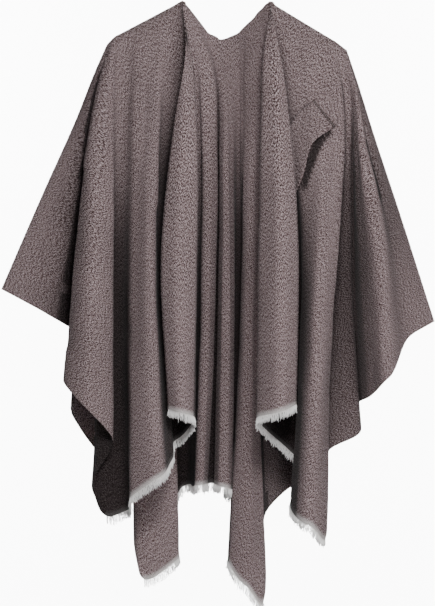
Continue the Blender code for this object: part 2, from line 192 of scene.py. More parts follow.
BACK = (
    Fold("left_wing_edge", (-196, -214, -246, -300, -370), (0, 0, 0, 0), -472),
    Fold("left_wing_middle", (-194, -209, -232, -265, -303), (3, 6, 18, 28), -497),
    Fold("left_wing_fold", (-192, -199, -208, -220, -238), (12, 22, 62, 94), -530),
    Fold("left_side_turn", (-188, -198, -211, -232, -252), (4, 14, 34, 42), -680),
    Fold("left_side_valley", (-183, -186, -192, -204, -208), (9, 24, 66, 78), -745),
    Fold("left_side_floor", (-176, -176, -176, -174, -172), (13, 32, 112, 136), -772),
    Fold("strip_edge", (-168, -165, -161, -158, -150), (10, 22, 56, 60), -826),
    Fold("strip_side", (-160, -156, -155, -153, -151), (9, 19, 44, 44), -899),
    Fold("left_corner", (-148, -145, -140, -134, -134), (8, 16, 36, 34), -947),
    Fold("strip_turn", (-130, -122, -109, -93, -83), (8, 18, 40, 42), -915),
    Fold("strip_hollow", (-114, -107, -105, -100, -100), (12, 30, 94, 114), -851),
    Fold("left_hollow", (-94, -84, -77, -67, -71), (15, 32, 117, 145), -796),
    Fold("first_side", (-72, -58, -46, -47, -54), (13, 26, 76, 96), -795),
    Fold("first_crown", (-66, -45, -35, -35, -45), (13, 12, 36, 44), -793),
    Fold("first_ridge", (-59, -31, -20, -22, -35), (16, 18, 46, 56), -791),
    Fold("first_valley", (-33, -18, -15, -18, -26), (32, 38, 88, 104), -790),
    Fold("middle_side", (-29, -14, -10, -12, -18), (29, 22, 50, 58), -792),
    Fold("middle_crown", (-20, -6, -2, -2, -6), (26, 13, 35, 40), -796),
    Fold("middle_ridge", (-8, 2, 7, 9, 7), (27, 20, 47, 54), -800),
    Fold("middle_valley", (16, 19, 19, 12, 0), (32, 38, 92, 108), -805),
    Fold("hidden_fold", (26, 26, 26, 35, 56), (28, 30, 104, 132), -858),
    Fold("tail_side", (35, 33, 30, 22, 3), (20, 20, 58, 54), -917),
    Fold("tail_ridge", (43, 43, 41, 35, 29), (15, 14, 38, 36), -957),
    Fold("right_corner", (54, 56, 54, 48, 60), (13, 18, 46, 52), -977),
    Fold("tail_turn", (70, 68, 62, 55, 61), (10, 18, 53, 73), -851),
    Fold("right_hollow", (83, 87, 91, 95, 105), (12, 30, 104, 128), -797),
    Fold("right_ridge", (107, 117, 125, 133, 143), (9, 20, 53, 66), -765),
    Fold("right_valley", (140, 153, 166, 176, 186), (13, 30, 111, 131), -716),
    Fold("right_side_ridge", (173, 181, 188, 196, 206), (8, 16, 46, 60), -662),
    Fold("right_wing_fold", (185, 198, 206, 217, 239), (9, 24, 73, 94), -621),
    Fold("right_wing_middle", (192, 209, 222, 252, 291), (3, 8, 26, 30), -555),
    Fold("right_wing_edge", (196, 211, 239, 283, 340), (0, 0, 0, 0), -525),
)

# The loop from its stitched end down, and the painted shadows under its free edge.
LOOP = (
    LoopSection((147, -158), 0.8, (182, -198), 0.8),
    LoopSection((142, -161), 0.9, (177, -204), 5.0),
    LoopSection((134, -166), 1.2, (165, -212), 12.0),
    LoopSection((124, -174), 2.0, (151, -221), 17.0),
    LoopSection((113, -186), 3.5, (140, -233), 19.0),
    LoopSection((104, -201), 6.0, (133, -251), 17.0),
    LoopSection((97, -219), 8.0, (129, -271), 14.0),
    LoopSection((92, -238), 8.0, (123, -291), 10.0),
    LoopSection((87, -258), 5.0, (112, -315), 6.0),
    LoopSection((83, -275), 1.0, (102, -330), 1.0),
)

LOOP_SHADES = (
    Shade((168, -213), (152, -227), 5.5),
    Shade((152, -227), (138, -262), 6.5),
    Shade((138, -262), (127, -300), 4.5),
)

# Creases of each panel: the two folds it lies between, its ends, its width and its height.
CREASES_LEFT = (
    Crease(("inner_flank", "outer_flank"), (-112, -88), (-118, -330), 7, 3.2),
    Crease(("inner_flank", "outer_flank"), (-133, -110), (-138, -260), 6, -2.4),
    Crease(("outer_flank", "under_turn"), (-151, -150), (-158, -520), 6, 2.6),
    Crease(("cascade_roll", "cascade_side"), (-198, -96), (-214, -300), 7, -2.2),
    Crease(("cascade_ridge", "wing_valley"), (-236, -280), (-262, -560), 8, -2.8),
    Crease(("wing_middle", "wing_edge"), (-226, -190), (-318, -430), 11, -3.4),
    Crease(("wing_valley", "wing_edge"), (-232, -300), (-286, -470), 9, 2.6),
    Crease(("lapel_face", "lapel_hollow"), (-60, -140), (-68, -420), 6, 1.8),
)
CREASES_RIGHT = (
    Crease(("inner_flank", "outer_flank"), (128, -70), (141, -190), 8, 2.8),
    Crease(("inner_ridge", "outer_flank"), (163, -250), (154, -560), 7, -2.4),
    Crease(("lapel_hollow", "inner_ridge"), (118, -300), (124, -640), 6, 2.4),
    Crease(("wing_flank", "wing_dip"), (226, -180), (262, -400), 8, 2.4),
    Crease(("wing_ridge", "wing_edge"), (236, -230), (300, -420), 9, -3.0),
    Crease(("wing_dip", "wing_edge"), (248, -250), (322, -470), 8, 2.6),
    Crease(("lapel_face", "lapel_hollow"), (72, -160), (68, -460), 7, 1.8),
)
CREASES_BACK = (
    Crease(("left_wing_edge", "left_wing_fold"), (-226, -180), (-318, -420), 10, 3.0),
    Crease(("left_wing_fold", "left_side_valley"), (-202, -160), (-226, -520), 8, 2.6),
    Crease(("left_side_floor", "left_hollow"), (-134, -120), (-118, -620), 8, 2.8),
    Crease(("left_hollow", "first_ridge"), (-62, -120), (-52, -560), 7, 2.2),
    Crease(("right_corner", "right_ridge"), (86, -110), (92, -600), 8, -2.8),
    Crease(("right_ridge", "right_side_ridge"), (148, -130), (166, -560), 8, 2.6),
    Crease(("right_side_ridge", "right_wing_edge"), (212, -170), (268, -440), 9, -2.6),
)

# Layers of the cloth's slight cockle: width, length, height, and what keeps their noise apart.
COCKLES = ((55, 140, 1.3, 0), (17, 45, 0.45, 7))


def smooth(knots: Sequence[float], values: Any, places: Any) -> Array:
    """Smooth curve through values at the knots, with the slope at a knot taken from both sides.

    Args:
        knots: rising places of the values.
        values: one number or one point for each knot.
        places: where the curve is read.

    Returns:
        The curve's values at the places.
    """
    knots, values, places = (np.asarray(v, float) for v in (knots, values, places))
    gaps = np.diff(knots)
    column = (-1,) + (1,) * (values.ndim - 1)
    steps = np.diff(values, axis=0) / gaps.reshape(column)
    before, after = gaps[:-1].reshape(column), gaps[1:].reshape(column)
    inner = (steps[:-1] * after + steps[1:] * before) / (before + after)
    slopes = np.concatenate([steps[:1], inner, steps[-1:]])
    i = np.minimum(np.searchsorted(knots, places, side="right") - 1, len(gaps) - 1)
    gap = gaps[i].reshape(column)
    t = ((places - knots[i]) / gaps[i]).reshape(column)
    return (values[i] * (2 * t**3 - 3 * t**2 + 1) + values[i + 1] * (3 * t**2 - 2 * t**3)
            + slopes[i] * gap * (t**3 - 2 * t**2 + t) + slopes[i + 1] * gap * (t**3 - t**2))


def unit(vectors: Array) -> Array:
    """Vectors scaled to a length of one."""
    return vectors / np.maximum(np.linalg.norm(vectors, axis=-1, keepdims=True), 1e-9)


def along(points: Array) -> Array:
    """Direction of travel at every point of a line, midway between the steps on either side."""
    steps = unit(np.diff(points, axis=0))
    return unit(np.concatenate([steps[:1], steps[:-1] + steps[1:], steps[-1:]]))


def facing_normals(grid: Array) -> Array:
    """Unit normals of a grid of points, across its rows and down its columns."""
    return unit(np.cross(along(grid.transpose(1, 0, 2)).transpose(1, 0, 2), along(grid)))


def arc_run(points: Array) -> Array:
    """Length of a line up to each of its points."""
    return np.concatenate([[0.0], np.cumsum(np.linalg.norm(np.diff(points, axis=0), axis=1))])


def arc_shares(points: Array) -> Array:
    """Share of a line's length at each of its points, from 0 to 1."""
    run = arc_run(points)
    return run / run[-1]


def arc_length(points: Array) -> float:
    """Length of a line."""
    return float(np.linalg.norm(np.diff(points, axis=0), axis=1).sum())


def read_line(table: Array, shares: Array, places: Array) -> Array:
    """Values of a line's table of three columns, at places given as shares of its length."""
    return np.stack([np.interp(places, shares, table[:, k]) for k in range(3)], axis=1)


def off_line(places: Array, start: Any, end: Any) -> Array:
    """Distance of places from a straight line between two points.

    Args:
        places: x and z of the places, along the last axis.
        start: x and z at which the line starts, or many such points.
        end: where it ends, likewise.

    Returns:
        The distance of each place from each line.
    """
    start, end = np.asarray(start, float), np.asarray(end, float)
    run = end - start
    share = np.clip(((places - start) * run).sum(-1) / (run * run).sum(-1), 0, 1)
    return np.linalg.norm(places - (start + share[..., None] * run), axis=-1)


def openness(across: Array, rise: Array) -> Array:
    """Share of the light from in front that reaches each point of a row, past the folds beside it.

    Args:
        across: x of the points.
        rise: how far each point stands out towards the light.

    Returns:
        One where nothing stands in the way, and near 0 at the floor of a narrow fold.
    """
    gap = across[None] - across[:, None]
    wall = np.maximum(rise[None] - rise[:, None], 0)
    steep = np.arctan2(wall, np.abs(gap) + OPEN_BLUR)
    right, left = (np.where((side > 0) & (side < OPEN_REACH), steep, 0).max(axis=1)
                   for side in (gap, -gap))
    return (np.cos(right) + np.cos(left)) / 2


def top_of(x: float) -> Point2:
    """Depth and height of the cloth's upper edge at x: the shoulder line, or the neck slit."""
    across, depths, heights = zip(*TOP_EDGE)
    return float(np.interp(x, across, depths)), float(np.interp(x, across, heights))


def linear(code: str) -> tuple[float, float, float, float]:
    """Linear colour of an sRGB hex value.

    Args:
        code: the colour as #rrggbb.

    Returns:
        Red, green, blue and an alpha of one.
    """
    shares = [int(code[i:i + 2], 16) / 255 for i in (1, 3, 5)]
    parts = [s / 12.92 if s <= 0.04045 else ((s + 0.055) / 1.055) ** 2.4 for s in shares]
    return (parts[0], parts[1], parts[2], 1.0)


def feed(tree: NodeTree, node: Node, inputs: dict[Any, Any]) -> None:
    """Set or link a node's inputs.

    Args:
        tree: the material's node tree.
        node: the node.
        inputs: for each input socket, a value or the output socket that feeds it.
    """
    for key, value in inputs.items():
        if isinstance(value, NodeSocket):
            tree.links.new(value, node.inputs[key])
        else:
            node.inputs[key].default_value = value


def add_node(tree: NodeTree, kind: str, inputs: Optional[dict[Any, Any]] = None,
             **settings: Any) -> Node:
    """Add a node to a tree with its settings and its links.

    Args:
        tree: the material's node tree.
        kind: the node's type.
        inputs: its inputs, as feed() takes them.
        settings: properties of the node itself.

    Returns:
        The new node.
    """
    made = tree.nodes.new(kind)
    for key, value in settings.items():
        setattr(made, key, value)
    feed(tree, made, inputs or {})
    return made


def set_ramp(node: Node, stops: Sequence[tuple[float, str]]) -> None:
    """Give a colour ramp its stops.

    Args:
        node: the ramp.
        stops: place and colour of each, from left to right.
    """
    elements = node.color_ramp.elements
    while len(elements) < len(stops):
        elements.new(0.5)
    for element, (place, colour) in zip(elements, stops):
        element.position, element.color = place, linear(colour)


def new_material(name: str) -> tuple[Material, NodeTree, Node]:
    """Start a material.

    Args:
        name: its name.

    Returns:
        The material, its node tree and its shader.
    """
    made = bpy.data.materials.new(name)
    made.use_nodes = True
    return made, made.node_tree, made.node_tree.nodes["Principled BSDF"]


@dataclass(frozen=True)
class MelangeTwill:
    """Brushed twill of a wool blend, spun from light and dark fibre: dull, hairy and flecked."""

    name: str
    dark: str  # the darkest fibre
    body: str
    light: str  # the palest fibre
    bleach: str = "#d9d4d2"  # pale yarn near a hem
    slub: Point2 = (3.4, 0.85)  # mm, length and width of a slub; finer ones would not show
    slub_angle: float = 28.0  # degrees that the twill leans from the warp
    fleck: float = 0.8  # mm, size of a fleck; real ones are finer and would not show
    fleck_share: float = 0.42  # share of the flecks in the pattern, against the slubs
    stops: Point3 = (0.43, 0.5, 0.565)  # places of the three fibres on the pattern's ramp
    rib: float = 2.6  # mm, spacing of the diagonal ribs; real ones are finer
    cloud: float = 90.0  # mm, size of the slow changes from one dye lot to the next
    relief: float = 0.35  # mm, height of the ribs and of the nap
    roughness: float = 0.92
    specular: float = 0.1
    sheen: float = 0.05
    fold_shade: float = 0.16  # painted shade: what is left of the colour at the floor of a closed fold
    closed: float = 0.34  # openness at which a fold counts as closed
    clear: float = 0.92  # openness from which the colour is whole

    def build(self) -> Material:
        """Make the material.

        Returns:
            A node material that reads the piece's cut map, so that the weave follows the cloth, and
            darkens its colour with painted shade where folds close in.
        """
        made, tree, shader = new_material(self.name)
        cut = add_node(tree, "ShaderNodeUVMap", uv_map="cut").outputs[0]
        lean = math.radians(self.slub_angle)

        def grain(length: float, width: float, turn: float) -> NodeSocket:
            """Noise with a grain of this length and width, turned off the warp."""
            placed = add_node(tree, "ShaderNodeMapping", {
                "Vector": cut, "Rotation": (0, 0, turn),
                "Scale": (1 / (width * MM), 1 / (length * MM), 1)})
            return add_node(tree, "ShaderNodeTexNoise", {
                "Vector": placed.outputs[0], "Scale": 1.0, "Detail": 2.0,
                "Roughness": 0.6}).outputs["Fac"]

        slubs = grain(*self.slub, lean)
        flecks = grain(self.fleck * 1.5, self.fleck, lean)
        clouds = grain(self.cloud * 1.6, self.cloud, 0.2)
        mixed = add_node(tree, "ShaderNodeMix", {
            "Factor": self.fleck_share, "A": slubs, "B": flecks}, data_type="FLOAT")
        ramp = add_node(tree, "ShaderNodeValToRGB", {"Fac": mixed.outputs[0]})
        set_ramp(ramp, tuple(zip(self.stops, (self.dark, self.body, self.light))))
        tone = add_node(tree, "ShaderNodeMapRange", {
            "Value": clouds, "From Min": 0.3, "From Max": 0.7, "To Min": 0.92, "To Max": 1.08})
        toned = add_node(tree, "ShaderNodeVectorMath", {
            0: ramp.outputs[0], "Scale": tone.outputs[0]}, operation="SCALE")
        near_hem = add_node(tree, "ShaderNodeAttribute", attribute_name="hem")
        picked = add_node(tree, "ShaderNodeMath", {
            0: near_hem.outputs["Fac"], 1: flecks}, operation="MULTIPLY")
        strength = add_node(tree, "ShaderNodeMapRange", {
            "Value": picked.outputs[0], "From Min": 0.12, "From Max": 0.5, "To Max": 0.85})
        coloured = add_node(tree, "ShaderNodeMix", {
            "Factor": strength.outputs[0], "A": toned.outputs[0], "B": linear(self.bleach)},
            data_type="RGBA")
        # Painted shade: the colour is darkened where the open attribute says that a fold closes in.
        lies_open = add_node(tree, "ShaderNodeAttribute", attribute_name="open")
        shade = add_node(tree, "ShaderNodeMapRange", {
            "Value": lies_open.outputs["Fac"], "From Min": self.closed, "From Max": self.clear,
            "To Min": self.fold_shade}, interpolation_type="SMOOTHSTEP")
        shaded = add_node(tree, "ShaderNodeVectorMath", {
            0: coloured.outputs[2], "Scale": shade.outputs[0]}, operation="SCALE")

        ribs = add_node(tree, "ShaderNodeMapping", {
            "Vector": cut, "Rotation": (0, 0, lean), "Scale": (1 / (self.rib * MM),) * 3})
        wave = add_node(tree, "ShaderNodeTexWave", {
            "Vector": ribs.outputs[0], "Scale": WAVE_SCALE,
            "Distortion": 2.2, "Detail": 1.0, "Detail Scale": 2.0}, bands_direction="X")
        height = add_node(tree, "ShaderNodeMix", {
            "Factor": 0.6, "A": wave.outputs["Fac"], "B": mixed.outputs[0]}, data_type="FLOAT")
        bump = add_node(tree, "ShaderNodeBump", {
            "Strength": 0.6, "Distance": self.relief * MM, "Height": height.outputs[0]})
        feed(tree, shader, {
            "Base Color": shaded.outputs[0], "Normal": bump.outputs[0],
            "Roughness": self.roughness, "Specular IOR Level": self.specular,
            "Sheen Weight": self.sheen, "Sheen Roughness": 0.6})
        return made


@dataclass(frozen=True)
class CombedYarn:
    """Loose undyed wool yarn with its fibres standing out: soft, pale and without gloss."""

    name: str
    root: str
    tip: str
    strand: Point3 = (1.6, 1.6, 9.0)  # mm, size of the streaks, long way down the yarn
    roughness: float = 0.95
    sheen: float = 0.4

    def build(self) -> Material:
        """Make the material.

        Returns:
            A node material that is greyer at the roots, as painted shade where the yarns crowd, and
            streaked down the yarn.
        """
        made, tree, shader = new_material(self.name)
        place = add_node(tree, "ShaderNodeTexCoord").outputs["Object"]
        streaks = add_node(tree, "ShaderNodeMapping", {
            "Vector": place, "Scale": tuple(1 / (s * MM) for s in self.strand)})
        fibre = add_node(tree, "ShaderNodeTexNoise", {
            "Vector": streaks.outputs[0], "Scale": 1.0, "Detail": 2.0}).outputs["Fac"]
        down = add_node(tree, "ShaderNodeAttribute", attribute_name="down").outputs["Fac"]
        blend = add_node(tree, "ShaderNodeMix", {"Factor": 0.4, "A": down, "B": fibre},
                         data_type="FLOAT")
        # Painted shade: the yarn is greyer towards its roots, where the yarns crowd under the hem.
        ramp = add_node(tree, "ShaderNodeValToRGB", {"Fac": blend.outputs[0]})
        set_ramp(ramp, ((0.1, self.root), (0.42, self.tip)))
        bump = add_node(tree, "ShaderNodeBump", {
            "Strength": 0.5, "Distance": 0.3 * MM, "Height": fibre})
        feed(tree, shader, {
            "Base Color": ramp.outputs[0], "Normal": bump.outputs[0],
            "Roughness": self.roughness, "Specular IOR Level": 0.2, "Sheen Weight": self.sheen})
        return made


@dataclass(frozen=True)
class SewingThread:
    """Spun polyester thread, a little glossier than the cloth that it sinks into."""

    name: str
    dark: str
    light: str
    twist: float = 0.8  # mm, spacing of the plies

    def build(self) -> Material:
        """Make the material, with its plies as fine stripes.

        Returns:
            A node material.
        """
        made, tree, shader = new_material(self.name)
        place = add_node(tree, "ShaderNodeTexCoord").outputs["Object"]
        plies = add_node(tree, "ShaderNodeTexNoise", {
            "Vector": place, "Scale": 1 / (self.twist * MM), "Detail": 1.0}).outputs["Fac"]
        ramp = add_node(tree, "ShaderNodeValToRGB", {"Fac": plies})
        set_ramp(ramp, ((0.35, self.dark), (0.65, self.light)))
        feed(tree, shader, {"Base Color": ramp.outputs[0], "Roughness": 0.7})
        return made


def finish_object(name: str, work: BMesh, finishes: Finishes, scale: float = MM) -> Object:
    """Turn a bmesh into a smooth-shaded object at the origin.

    Args:
        name: the piece's name.
        work: its mesh, which is freed.
        finishes: its materials, in the order of its slots.
        scale: metres in one unit of the mesh.

    Returns:
        The new object.
    """
    bmesh.ops.scale(work, vec=(scale, scale, scale), verts=work.verts)
    for face in work.faces:
        face.smooth = True
    mesh = bpy.data.meshes.new(name)
    work.to_mesh(mesh)
    work.free()
    for finish in finishes:
        mesh.materials.append(finish)
    made = bpy.data.objects.new(name, mesh)
    bpy.context.scene.collection.objects.link(made)
    LOG.info("%s: %d faces", name, len(mesh.polygons))
    return made


def shell(name: str, middle: Array, normals: Array, cut: Array, hem: Array,
          light: tuple[Array, Array], finishes: Finishes) -> Object:
    """Cloth shell on a grid of middle points: a grid drawn out through the cloth's thickness.

    Args:
        name: the piece's name.
        middle: grid of points midway through the cloth.
        normals: unit normals of the right side at those points.
        cut: place of every point on the flat cloth, in millimetres.
        hem: how much pale hem yarn shows at every point, from 0 to 1.
        light: how open every point lies, on the right side and on the reverse.
        finishes: the materials of the right side and of the reverse.

    Returns:
        The shell, with its weave on the map named cut.
    """
    rows, columns = middle.shape[:2]
    outer, inner = ((middle + normals * half).reshape(-1, 3) for half in (CLOTH / 2, -CLOTH / 2))
    work = bmesh.new()
    bmesh.ops.create_grid(work, x_segments=columns - 1, y_segments=rows - 1, size=1)
    place = work.verts.layers.int.new("place")
    pale = work.verts.layers.float.new("hem")
    # Openness of each point, which the cloth's material turns into painted shade.
    lies_open = work.verts.layers.float.new("open")
    chart = work.loops.layers.uv.new("cut")
    bleach, above, below = hem.reshape(-1), light[0].reshape(-1), light[1].reshape(-1)
    for k, vert in enumerate(work.verts):
        vert[place], vert[pale], vert[lies_open] = k, bleach[k], above[k]
        vert.co = outer[k]
    wall = bmesh.ops.extrude_face_region(work, geom=work.faces[:], use_keep_orig=True)
    for item in wall["geom"]:
        if isinstance(item, BMVert):
            item.co = inner[item[place]]
            item[lies_open] = below[item[place]]
        elif isinstance(item, BMFace):
            item.material_index = Side.REVERSE.value
    flat = cut.reshape(-1, 2)
    for face in work.faces:
        for loop in face.loops:
            loop[chart].uv = flat[loop.vert[place]] * MM
    work.verts.layers.int.remove(place)
    bmesh.ops.remove_doubles(work, verts=work.verts, dist=WELD)
    bmesh.ops.recalc_face_normals(work, faces=work.faces)
    return finish_object(name, work, finishes)


@dataclass
class Panel:
    """One panel of the poncho, lofted through its folds."""

    name: str
    facing: Facing
    folds: tuple[Fold, ...]
    creases: tuple[Crease, ...]
    corners: tuple[str, ...]  # folds that end at a corner of the cut
    cut_size: Point2  # mm, width and length of the flat cloth
    seed: float
    shades: tuple[Shade, ...] = ()

    def __post_init__(self) -> None:
        """Work out the points of the panel's middle surface."""
        self.rows = self.row_shares()
        grid = self.loft()
        self.seams = self.seam_lines(grid.shape)
        flat = self.flat_places(grid)
        grid = self.fall_from_shoulder(grid)
        normals = facing_normals(grid)
        if normals[..., 1].mean() * self.facing.value < 0:
            normals = -normals
        grid = grid + normals * self.softness(grid, flat)[..., None]
        for line in self.seams:
            for place in line:
                normals[place] = (0, self.facing.value, 0)
        self.middle, self.normals, self.flat = grid, normals, flat

    @staticmethod
    def row_shares() -> Array:
        """Rows as shares of a fold's drop, closer together at both ends."""
        even = np.linspace(0, 1, ROW_COUNT)
        return even - ROW_EASE * np.sin(2 * np.pi * even) / (2 * np.pi)

    def column_of(self, name: str) -> int:
        """Grid column at which a named fold's crest begins."""
        place = [fold.name for fold in self.folds].index(name)
        return place * FLANK_STEPS + max(place - 1, 0) * CREST_STEPS

    def crest_of(self, name: str) -> int:
        """Grid column in the middle of a named fold's crest."""
        ends = (self.folds[0].name, self.folds[-1].name)
        return self.column_of(name) + (0 if name in ends else CREST_STEPS // 2)

    def fold_line(self, fold: Fold) -> Array:
        """Work out the line of one fold.

        Args:
            fold: the fold.

        Returns:
            Its points as x, depth, z, one for each row.
        """
        top_depth, top = top_of(fold.across[0])
        x = smooth(STATIONS, fold.across, self.rows)
        depth = smooth(STATIONS, (top_depth,) + fold.depth, self.rows)
        depth += fold.stand * (1 - np.exp(-self.rows / STAND_RUN))
        return np.stack([x, depth, top + (fold.end - top) * self.rows], axis=1)

    @staticmethod
    def crests(points: Array) -> Array:
        """Split every inner fold point of a row in two, so that each fold has a rounded crest.

        Args:
            points: the row's fold points.

        Returns:
            The first point, two for each inner fold, and the last point.
        """
        split = [points[0]]
        for before, crest, after in zip(points, points[1:], points[2:]):
            back, on = (before - crest)[:2], (after - crest)[:2]
            reach = (np.linalg.norm(back), np.linalg.norm(on))
            half = min(CREST, min(reach) * CREST_SHARE)
            turn = unit(unit(on) - unit(back))
            step = np.append(turn, (after - before)[2] / sum(reach)) * half
            split += [crest - step, crest + step]
        return np.array(split + [points[-1]])

    def loft(self) -> Array:
        """Fill in the columns between neighbouring folds, row by row.

        Returns:
            The grid of points, rows down the panel and columns across it.
        """
        lines = np.array([self.fold_line(fold) for fold in self.folds])
        grid = []
        for row in range(len(self.rows)):
            points = self.crests(lines[:, row])
            runs = np.sqrt(np.linalg.norm(np.diff(points, axis=0), axis=1)) + EVEN_RUN
            knots = np.concatenate([[0.0], np.cumsum(runs)])
            places = [np.linspace(knots[i], knots[i + 1], CREST_STEPS if i % 2 else FLANK_STEPS,
                                  endpoint=False) for i in range(len(runs))]
            grid.append(smooth(knots, points, np.concatenate(places + [knots[-1:]])))
        return np.array(grid)

    def seam_lines(self, shape: tuple[int, ...]) -> list[list[tuple[int, int]]]:
        """List the grid places along each shoulder fold.

        Args:
            shape: the grid's rows and columns.

        Returns:
            For each shoulder fold, its places from the neck out to the tip of the wing.
        """
        rows, columns = shape[:2]
        down = range(1, rows)
        if self.facing is Facing.FRONT:
            return [[(0, c) for c in range(columns)] + [(r, columns - 1) for r in down]]
        left_neck = self.column_of("first_side") + CREST_STEPS // 2
        right_neck = self.column_of("tail_turn") + CREST_STEPS // 2
        return [[(0, c) for c in range(left_neck, -1, -1)] + [(r, 0) for r in down],
                [(0, c) for c in range(right_neck, columns)] + [(r, columns - 1) for r in down]]

    def fall_from_shoulder(self, grid: Array) -> Array:
        """Turn depths into places along Y, with the panel rolling off the shoulder line.

        Args:
            grid: points as x, depth, z.

        Returns:
            Points as x, y, z.
        """
        view = grid[..., (0, 2)]
        distance = np.full(grid.shape[:2], np.inf)
        for line in self.seams:
            seam = np.array([view[place] for place in line])[::2]
            gap = off_line(view[..., None, :], seam[:-1], seam[1:]).min(-1)
            distance = np.minimum(distance, gap)
        depth = grid[..., 1] + SHOULDER_TURN * (1 - np.exp(-distance / SHOULDER_TURN))
        for line in self.seams:
            for place in line:
                depth[place] = 0.0
        self.from_seam = distance
        fallen = grid.copy()
        fallen[..., 1] = self.facing.value * (SEAM_RADIUS + depth)
        return fallen

    def flat_places(self, grid: Array) -> Array:
        """Work out where every grid point lies on the flat cloth.

        Args:
            grid: points as x, depth, z.

        Returns:
            Places in millimetres, across and down from a top corner of the flat cloth.
        """
        width, length = self.cut_size
        front = self.facing is Facing.FRONT
        upper, lower = grid[0], grid[-1]
        side, run = arc_length(grid[:, -1 if front else 0]), arc_length(upper)
        corners = [self.crest_of(name) for name in self.corners]
        top = np.zeros((len(upper), 2))
        if front:
            top[:, 0] = arc_shares(upper) * (width - side)
            path = ((0, length), (width, length), (width, 0))
        else:
            left, right = len(self.seams[0]) - len(self.rows), self.seams[1][0][1]
            top[:, 0] = width / 2 + (arc_shares(upper) - 0.5) * run
            top[left:right + 1, 1] = -upper[left:right + 1, 2]
            spread = max((run - width) / 2 + side, 0)
            path = ((-spread, 0), (0, length), (width, length), (width + spread, 0))
        bottom = np.zeros((len(upper), 2))
        stops = [0, *corners, len(upper) - 1]
        for first, last, start, end in zip(stops, stops[1:], path, path[1:]):
            share = arc_shares(lower[first:last + 1])[:, None]
            bottom[first:last + 1] = np.array(start) * (1 - share) + np.array(end) * share
        down = self.rows[:, None, None]
        flat = top * (1 - down) + bottom * down
        if front:
            flat[:, -1, 0] = width - side + self.rows * side
            flat[:, -1, 1] = 0
        return flat

    def softness(self, grid: Array, flat: Array) -> Array:
        """Work out the rise and dip of the listed creases and of the cloth's slight cockle.

        Args:
            grid: points of the panel.
            flat: their places on the flat cloth.

        Returns:
            How far each point moves along its normal.
        """
        rise = np.zeros(grid.shape[:2])
        for crease in self.creases:
            first, last = (self.column_of(name) for name in crease.between)
            gap = off_line(grid[:, first:last + 1][..., (0, 2)], crease.start, crease.end)
            fade = np.sin(np.pi * np.linspace(0, 1, last + 1 - first)) ** 0.5
            rise[:, first:last + 1] += crease.height * np.exp(-(gap / crease.width) ** 2) * fade
        for place in np.ndindex(rise.shape):
            u, v = flat[place]
            rise[place] += sum(high * noise.noise(Vector((u / wide, v / long, self.seed + apart)))
                               for wide, long, high, apart in COCKLES)
        return rise * np.clip(self.from_seam / SOFT_FROM_SEAM, 0, 1)

    def rolled(self) -> tuple[Array, Array, Array]:
        """Add the shoulder roll round the grid.

        Returns:
            Middle points, unit normals and flat places of the wider grid.
        """
        rows, columns = self.middle.shape[:2]
        k = ROLL_STEPS
        before = k if self.facing is Facing.BACK else 0
        size = (rows + k, columns + before + k)
        points, normals, flat = (np.zeros(size + (depth,)) for depth in (3, 3, 2))
        inside = (slice(k, None), slice(before, before + columns))
        points[inside], normals[inside], flat[inside] = self.middle, self.normals, self.flat
        centre = self.middle.mean(axis=(0, 1))
        outward: dict[tuple[int, int], Array] = {}
        for line in self.seams:
            seam = np.array([self.middle[place] for place in line])
            travel = along(seam)
            out = np.stack([-travel[:, 2], np.zeros(len(seam)), travel[:, 0]], axis=1)
            out *= np.sign(((seam - centre) * out).sum())
            outward.update(zip(line, out))

        def roll(place: tuple[int, int], step: int) -> tuple[Array, Array, Array]:
            """Point, normal and flat place so many steps round the roll from a grid place."""
            if place not in outward:
                return self.middle[place], self.normals[place], self.flat[place]
            turn = math.pi / 2 * step / k
            normal = outward[place] * math.sin(turn)
            normal = normal + np.array((0, self.facing.value * math.cos(turn), 0))
            spot = self.middle[place] * (1, 0, 1) + normal * SEAM_RADIUS
            return spot, normal, self.flat[place] - (0, SEAM_RADIUS * turn)

        for i, j in np.ndindex(size):
            steps = max(k - i, before - j, j - before - columns + 1, 0)
            if steps:
                place = (max(i - k, 0), min(max(j - before, 0), columns - 1))
                points[i, j], normals[i, j], flat[i, j] = roll(place, steps)
        return points, normals, flat

    def build(self, finishes: Finishes) -> Object:
        """Make the panel's shell.

        Args:
            finishes: the materials of the right side and of the reverse.

        Returns:
            The shell.
        """
        points, normals, flat = self.rolled()
        hem = np.clip(1 - (self.cut_size[1] - flat[..., 1]) / HEM_BLEACH, 0, 1)
        # How open each point lies on either side, which the cloth's material turns into painted shade
        # in closed folds.
        rise = points[..., 1] * self.facing.value
        out, back = (np.array([openness(row[:, 0], side * high) for row, high in zip(points, rise)])
                     for side in (1, -1))
        facing = normals[..., 1] * self.facing.value
        own = np.clip((facing + TURNED_AWAY) * TURN_STEEPNESS, 0, 1)
        above, below = out * own + back * (1 - own), back * own + out * (1 - own)
        # Painted shadows: the dark places under the loop's free edge take light off the right side's
        # openness, and so darken its colour.
        for dark in self.shades:
            gap = off_line(points[..., (0, 2)], dark.start, dark.end)
            above = above * (1 - SHADE_DEPTH * np.exp(-(gap / dark.width) ** 2))
        return shell(self.name, points, normals, flat, hem, (above, below), finishes)

    def hem_line(self) -> tuple[Array, Array, Array]:
        """Find the hem, from one corner of the cut to the other.

        Returns:
            Its points, the direction away from the cloth at each, and the right side's normals.
        """
        if self.facing is Facing.FRONT:
            first, last = 0, self.crest_of(self.corners[0])
        else:
            first, last = (self.crest_of(name) for name in self.corners)
        hem, out = self.middle[-1, first:last + 1], self.normals[-1, first:last + 1]
        fall = unit(hem - self.middle[-2, first:last + 1])
        away = unit(np.cross(out, along(hem)))
        away *= np.sign((away * fall).sum())
        return hem, unit(away + fall), out


